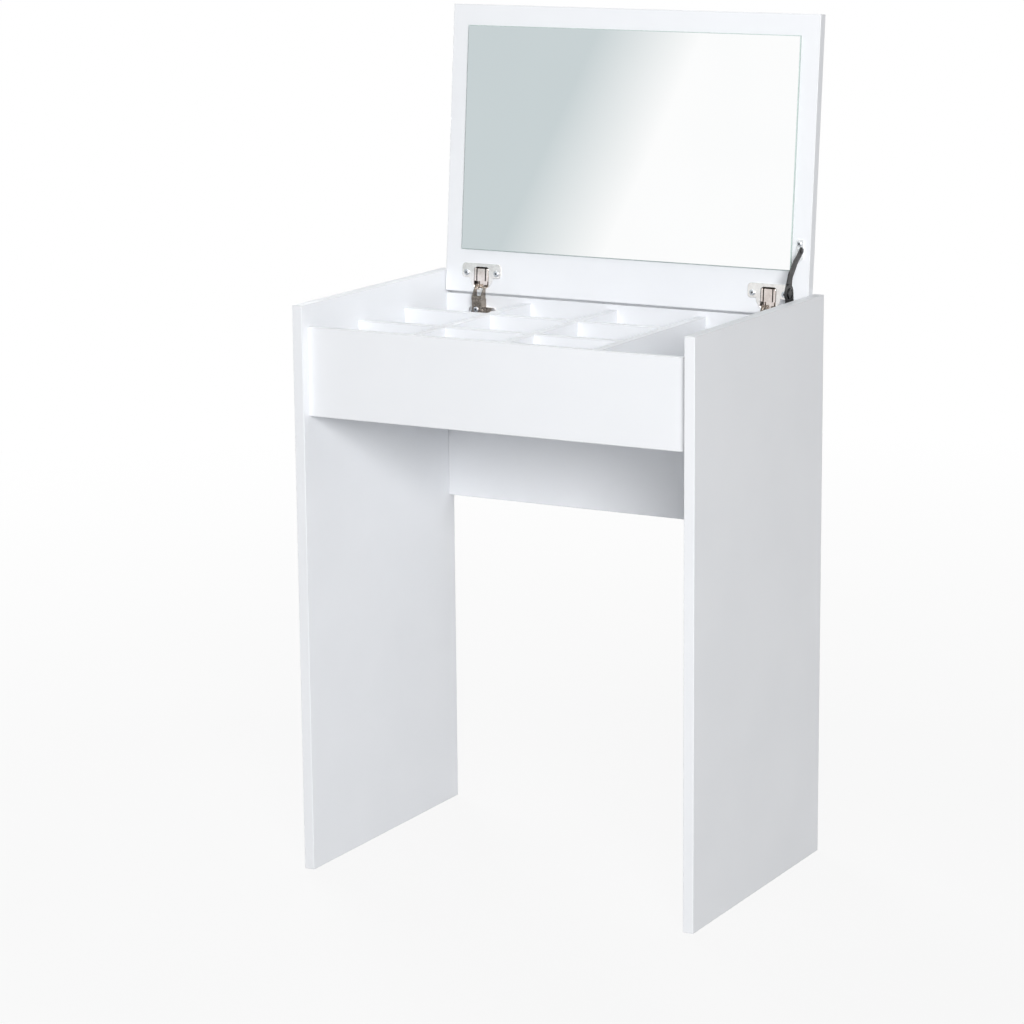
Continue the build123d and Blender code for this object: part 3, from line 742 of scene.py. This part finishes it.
# Soft studio light: a dim white surround, a broad lamp to the front right, a soft one overhead and a
# third behind that lights the rear. What shiny surfaces show of the surround is white, with a blue-grey
# wall to the front left and a grey one behind.
surround_strength = 0.13
surround_colour = (0.985, 0.992, 1.0, 1.0)
plain_white = (1.0, 1.0, 1.0, 1.0)
wall_colour = (0.597, 0.658, 0.672, 1.0)
wall_lean = -0.347  # how far the wall's edge leans, sideways for each step up
wall_edge = (-0.4922, -0.4648)  # sideways direction where the wall starts to fade, and where it ends
rear_wall_colour = (0.4, 0.4, 0.4, 1.0)
rear_wall_edge = (0.0, 0.3)  # rearward direction where the wall behind starts, and where it is whole
world = bpy.data.worlds.new("studio")
bpy.context.scene.world = world
world.use_nodes = True
nodes = world.node_tree.nodes
links = world.node_tree.links
nodes.clear()
direction = nodes.new("ShaderNodeTexCoord")

across = nodes.new("ShaderNodeVectorMath")
across.operation = "DOT_PRODUCT"
across.inputs[1].default_value = (1.0, 0.0, wall_lean)
fade = nodes.new("ShaderNodeMapRange")
fade.inputs["From Min"].default_value = wall_edge[0]
fade.inputs["From Max"].default_value = wall_edge[1]
wall = nodes.new("ShaderNodeMix")
wall.data_type = "RGBA"
wall.inputs["A"].default_value = wall_colour
wall.inputs["B"].default_value = plain_white
links.new(direction.outputs["Generated"], across.inputs[0])
links.new(across.outputs["Value"], fade.inputs["Value"])
links.new(fade.outputs["Result"], wall.inputs["Factor"])

split = nodes.new("ShaderNodeSeparateXYZ")
rear_fade = nodes.new("ShaderNodeMapRange")
rear_fade.inputs["From Min"].default_value = rear_wall_edge[0]
rear_fade.inputs["From Max"].default_value = rear_wall_edge[1]
rear_wall = nodes.new("ShaderNodeMix")
rear_wall.data_type = "RGBA"
rear_wall.inputs["B"].default_value = rear_wall_colour
links.new(direction.outputs["Generated"], split.inputs["Vector"])
links.new(split.outputs["Y"], rear_fade.inputs["Value"])
links.new(rear_fade.outputs["Result"], rear_wall.inputs["Factor"])
links.new(wall.outputs["Result"], rear_wall.inputs["A"])

mirrored = nodes.new("ShaderNodeBackground")
even = nodes.new("ShaderNodeBackground")
even.inputs["Color"].default_value = surround_colour
even.inputs["Strength"].default_value = surround_strength
backdrop = nodes.new("ShaderNodeBackground")
backdrop.inputs["Color"].default_value = plain_white
path = nodes.new("ShaderNodeLightPath")
glossy_mix = nodes.new("ShaderNodeMixShader")
camera_mix = nodes.new("ShaderNodeMixShader")
output = nodes.new("ShaderNodeOutputWorld")
links.new(rear_wall.outputs["Result"], mirrored.inputs["Color"])
links.new(path.outputs["Is Glossy Ray"], glossy_mix.inputs["Fac"])
links.new(even.outputs["Background"], glossy_mix.inputs[1])
links.new(mirrored.outputs["Background"], glossy_mix.inputs[2])
links.new(path.outputs["Is Camera Ray"], camera_mix.inputs["Fac"])
links.new(glossy_mix.outputs["Shader"], camera_mix.inputs[1])
links.new(backdrop.outputs["Background"], camera_mix.inputs[2])
links.new(camera_mix.outputs["Shader"], output.inputs["Surface"])


def add_lamp(name, azimuth, elevation, distance, size, power):
    """A square lamp that faces the middle of the object."""
    turn = math.radians(azimuth)
    rise = math.radians(elevation)
    flat = math.cos(rise)
    out = Vector((math.sin(turn) * flat, -math.cos(turn) * flat, math.sin(rise)))
    lamp = bpy.data.lights.new(name, "AREA")
    lamp.size = size
    lamp.energy = power
    holder = bpy.data.objects.new(name, lamp)
    bpy.context.scene.collection.objects.link(holder)
    middle = (cad_box[0] + cad_box[1]) / 2
    holder.location = middle + out * distance
    holder.rotation_euler = (-out).to_track_quat("-Z", "Y").to_euler()


add_lamp("front_lamp", azimuth=35.0, elevation=17.5, distance=8.0, size=2.4, power=570.0)
add_lamp("top_lamp", azimuth=0.0, elevation=82.0, distance=3.2, size=2.0, power=24.0)
add_lamp("rear_lamp", azimuth=234.0, elevation=12.0, distance=6.0, size=3.0, power=325.0)

# The camera stands in front on the right and looks down at the table, as the photograph does.
# Its lens is long, and a small shift puts the table at its place in the frame.
camera_place = (2.1270, -3.9638, 1.4658)
camera_yaw = 28.206
camera_pitch = 12.603
camera_roll = 0.304
camera_lens = 117.9
camera_sensor = 36.0
camera_shift = (-0.0541, 0.0237)
camera = bpy.data.objects.new("camera", bpy.data.cameras.new("camera"))
bpy.context.scene.collection.objects.link(camera)
camera.matrix_world = (
    Matrix.Translation(camera_place)
    @ Matrix.Rotation(math.radians(camera_yaw), 4, "Z")
    @ Matrix.Rotation(math.radians(90.0 - camera_pitch), 4, "X")
    @ Matrix.Rotation(math.radians(-camera_roll), 4, "Z")
)
camera.data.sensor_width = camera_sensor
camera.data.lens = camera_lens
camera.data.shift_x, camera.data.shift_y = camera_shift
bpy.context.scene.camera = camera
bpy.context.scene.view_settings.view_transform = "Standard"
